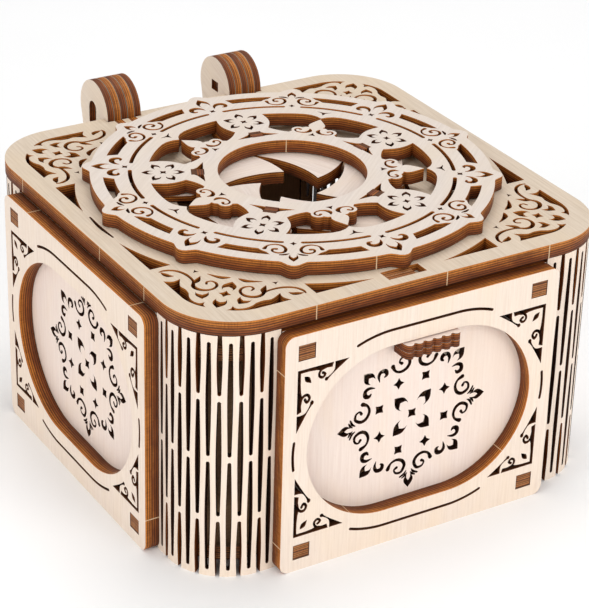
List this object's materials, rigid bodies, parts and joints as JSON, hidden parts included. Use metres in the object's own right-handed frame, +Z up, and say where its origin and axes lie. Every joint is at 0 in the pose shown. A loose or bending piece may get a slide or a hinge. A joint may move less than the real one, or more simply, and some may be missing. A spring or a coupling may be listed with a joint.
{
  "type": "wooden puzzle keepsake box",
  "caption": "Laser-cut plywood puzzle box with pierced frames, bent lattice corners, a hinged lid, a turning ring that opens an iris, and a sliding latch.",
  "frame": {"origin": "bottom centre of the whole object's outer size, on the surface that it stands on", "axes": "+X to the right seen from the front, +Y towards the hinges at the back, +Z up; the front with the thumb tab faces -Y"},
  "size_m": [0.2004, 0.221, 0.1253],
  "materials": {
    "pale_plywood": "bare sanded birch plywood",
    "warm_plywood": "bare sanded birch plywood",
    "burnt_plywood": "laser-browned plywood edge"
  },
  "bodies": {
    "case": {"corner_lattice_back_left": "pale_plywood", "corner_lattice_back_right": "pale_plywood", "corner_lattice_front_left": "pale_plywood", "corner_lattice_front_right": "pale_plywood", "floor_plate_lower": "warm_plywood", "floor_plate_upper": "warm_plywood", "frame_back_inner": "pale_plywood", "frame_back_outer": "pale_plywood", "frame_front_inner": "pale_plywood", "frame_front_outer": "pale_plywood", "frame_left_inner": "pale_plywood", "frame_left_outer": "pale_plywood", "frame_right_inner": "pale_plywood", "frame_right_outer": "pale_plywood", "hinge_left_axle": "burnt_plywood", "hinge_left_case_board_1": "warm_plywood", "hinge_left_case_board_3": "warm_plywood", "hinge_left_case_board_5": "warm_plywood", "hinge_right_axle": "burnt_plywood", "hinge_right_case_board_1": "warm_plywood", "hinge_right_case_board_3": "warm_plywood", "hinge_right_case_board_5": "warm_plywood", "latch_guide_left": "warm_plywood", "latch_guide_right": "warm_plywood", "latch_keeper": "warm_plywood", "top_plate_lower": "warm_plywood", "top_plate_upper": "warm_plywood", "wall_back": "pale_plywood", "wall_front": "pale_plywood", "wall_left": "pale_plywood", "wall_right": "pale_plywood"},
    "lid": {"blade_pin_1": "burnt_plywood", "blade_pin_2": "burnt_plywood", "blade_pin_3": "burnt_plywood", "blade_pin_4": "burnt_plywood", "blade_pin_5": "burnt_plywood", "hinge_left_lid_board_2": "warm_plywood", "hinge_left_lid_board_4": "warm_plywood", "hinge_right_lid_board_2": "warm_plywood", "hinge_right_lid_board_4": "warm_plywood", "lid_lower_board": "warm_plywood", "lid_upper_board": "warm_plywood"},
    "ring": {"iris_driver_1": "burnt_plywood", "iris_driver_2": "burnt_plywood", "iris_driver_3": "burnt_plywood", "iris_driver_4": "burnt_plywood", "iris_driver_5": "burnt_plywood", "ring_lower_board": "pale_plywood", "ring_retainer": "warm_plywood", "ring_upper_board": "pale_plywood"},
    "blade_1": {"iris_blade_1": "pale_plywood"},
    "blade_2": {"iris_blade_2": "pale_plywood"},
    "blade_3": {"iris_blade_3": "pale_plywood"},
    "blade_4": {"iris_blade_4": "pale_plywood"},
    "blade_5": {"iris_blade_5": "pale_plywood"},
    "latch": {"latch_board_front": "warm_plywood", "latch_board_rear": "warm_plywood", "thumb_tab_lower": "pale_plywood", "thumb_tab_upper": "pale_plywood"}
  },
  "joints": [
    {"name": "lid_hinge", "type": "hinge", "parent": "case", "child": "lid", "pos_m": [0, 0.0972, 0.112], "axis": [-1, 0, 0], "range_deg": [0, 105]},
    {"name": "ring_turn", "type": "hinge", "parent": "lid", "child": "ring", "pos_m": [0, -0.0075, 0.1147], "axis": [0, 0, 1], "range_deg": [-10.1, 6.9]},
    {"name": "blade_1_swing", "type": "hinge", "parent": "lid", "child": "blade_1", "pos_m": [0.05919, 0.00726, 0.11], "axis": [0, 0, 1], "range_deg": [-11.8, 17.3]},
    {"name": "blade_2_swing", "type": "hinge", "parent": "lid", "child": "blade_2", "pos_m": [0.00426, 0.05335, 0.11], "axis": [0, 0, 1], "range_deg": [-11.8, 17.3]},
    {"name": "blade_3_swing", "type": "hinge", "parent": "lid", "child": "blade_3", "pos_m": [-0.05656, 0.01535, 0.11], "axis": [0, 0, 1], "range_deg": [-11.8, 17.3]},
    {"name": "blade_4_swing", "type": "hinge", "parent": "lid", "child": "blade_4", "pos_m": [-0.03921, -0.05423, 0.11], "axis": [0, 0, 1], "range_deg": [-11.8, 17.3]},
    {"name": "blade_5_swing", "type": "hinge", "parent": "lid", "child": "blade_5", "pos_m": [0.03232, -0.05923, 0.11], "axis": [0, 0, 1], "range_deg": [-11.8, 17.3]},
    {"name": "latch_slide", "type": "slide", "parent": "case", "child": "latch", "axis": [1, 0, 0], "range_m": [0, 0.004]}
  ],
  "couplings": [
    {"joint": "blade_1_swing", "follows": "ring_turn", "ratio": -1.704},
    {"joint": "blade_2_swing", "follows": "ring_turn", "ratio": -1.704},
    {"joint": "blade_3_swing", "follows": "ring_turn", "ratio": -1.704},
    {"joint": "blade_4_swing", "follows": "ring_turn", "ratio": -1.704},
    {"joint": "blade_5_swing", "follows": "ring_turn", "ratio": -1.704}
  ]
}
